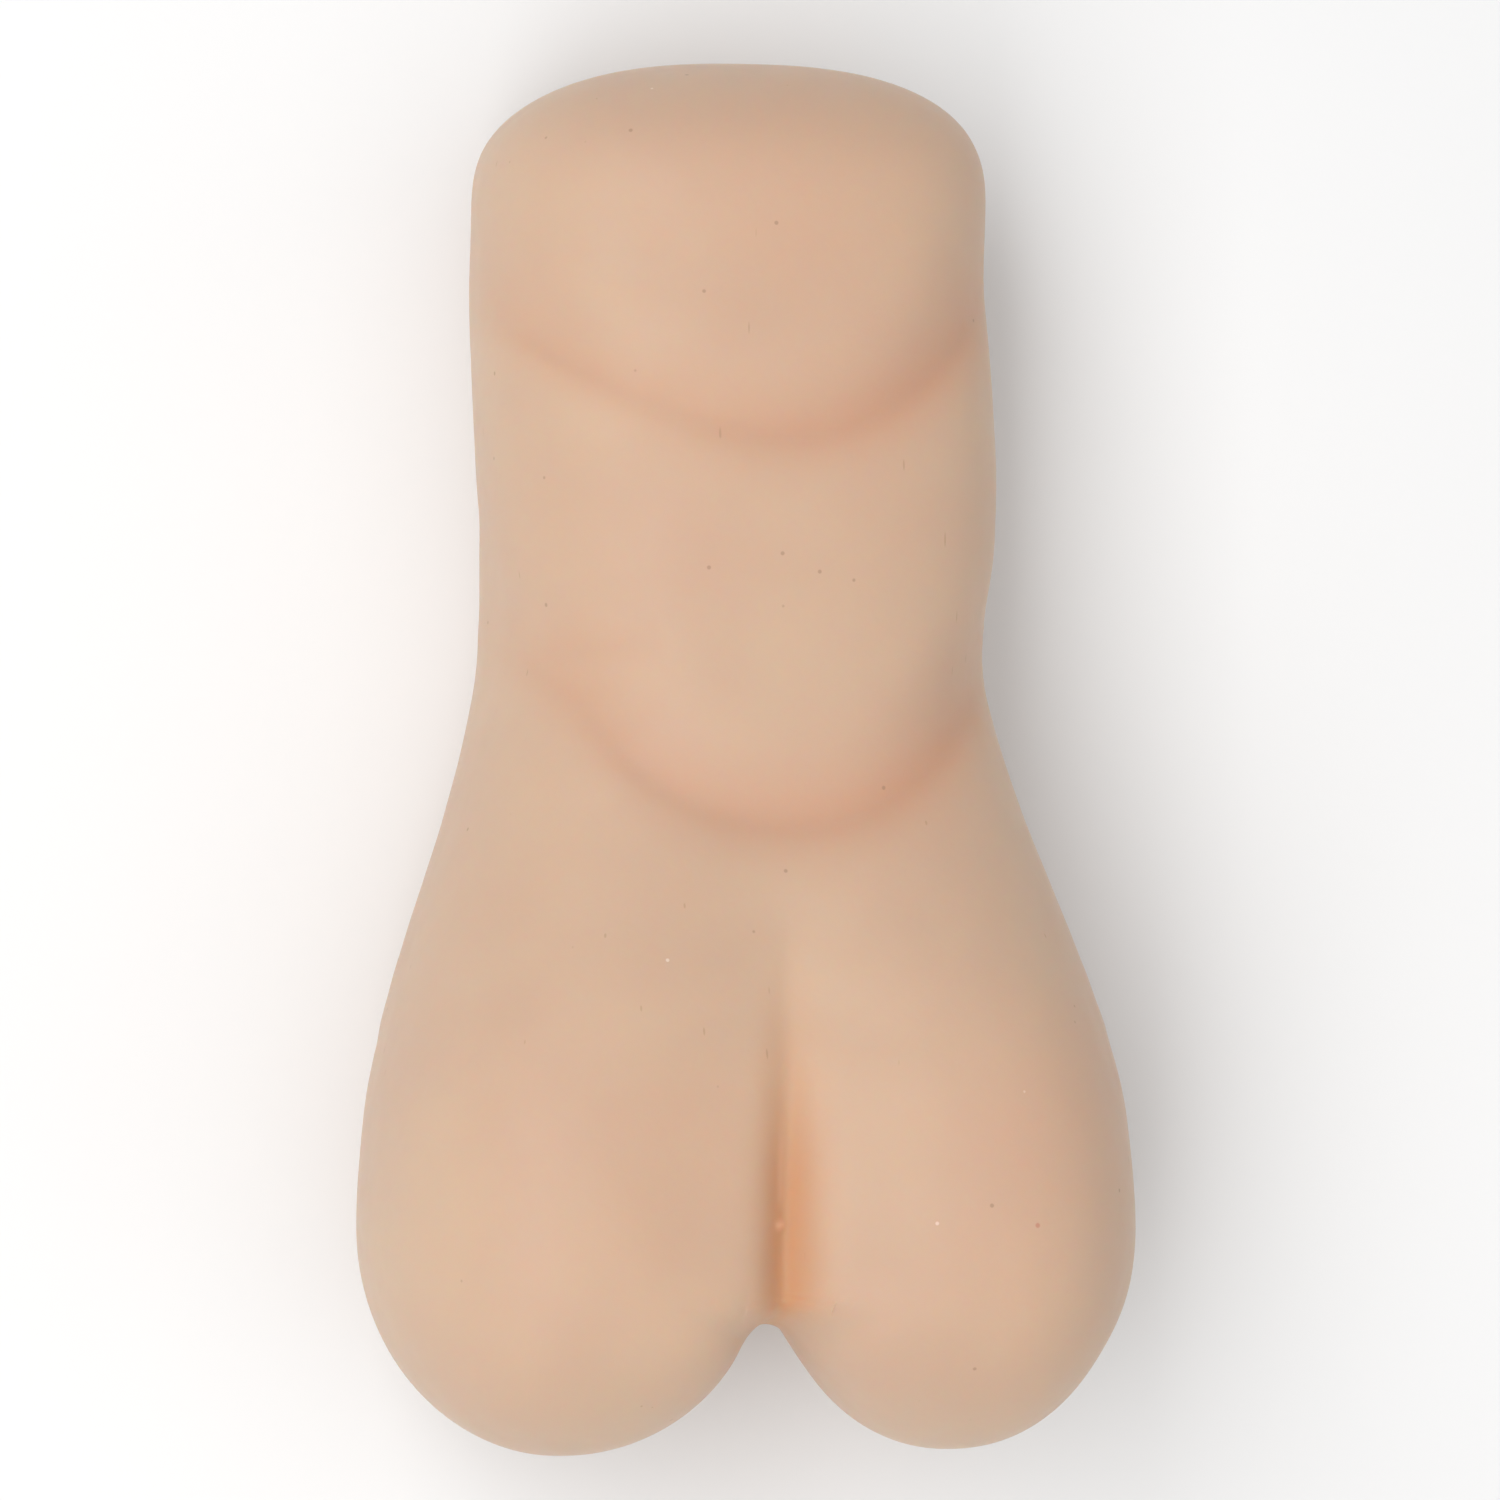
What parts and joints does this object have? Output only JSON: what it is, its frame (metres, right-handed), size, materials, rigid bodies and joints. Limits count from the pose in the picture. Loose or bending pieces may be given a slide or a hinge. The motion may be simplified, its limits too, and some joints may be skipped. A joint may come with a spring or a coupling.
{
  "type": "soft torso form",
  "caption": "Hand-sized soft elastomer torso form without head or limbs, with two U-shaped back folds and two rounded hip lobes, on a flattened underside.",
  "frame": {"origin": "middle of the footprint, on the surface that the flattened underside lies on", "axes": "+Y along the trunk towards its round stump end, +Z up out of the back with the folds, +X to the right seen from above with +Y up"},
  "size_m": [0.1058, 0.19, 0.072],
  "materials": {
    "skin_elastomer": "matte",
    "firm_elastomer": "satin",
    "soft_gel": "gloss",
    "plug_elastomer": "matte"
  },
  "bodies": {
    "root": {"outer_body": "skin_elastomer", "firm_core": "firm_elastomer", "hip_gel_left": "soft_gel", "hip_gel_right": "soft_gel", "underside_pin_plugs": "plug_elastomer"}
  },
  "joints": []
}
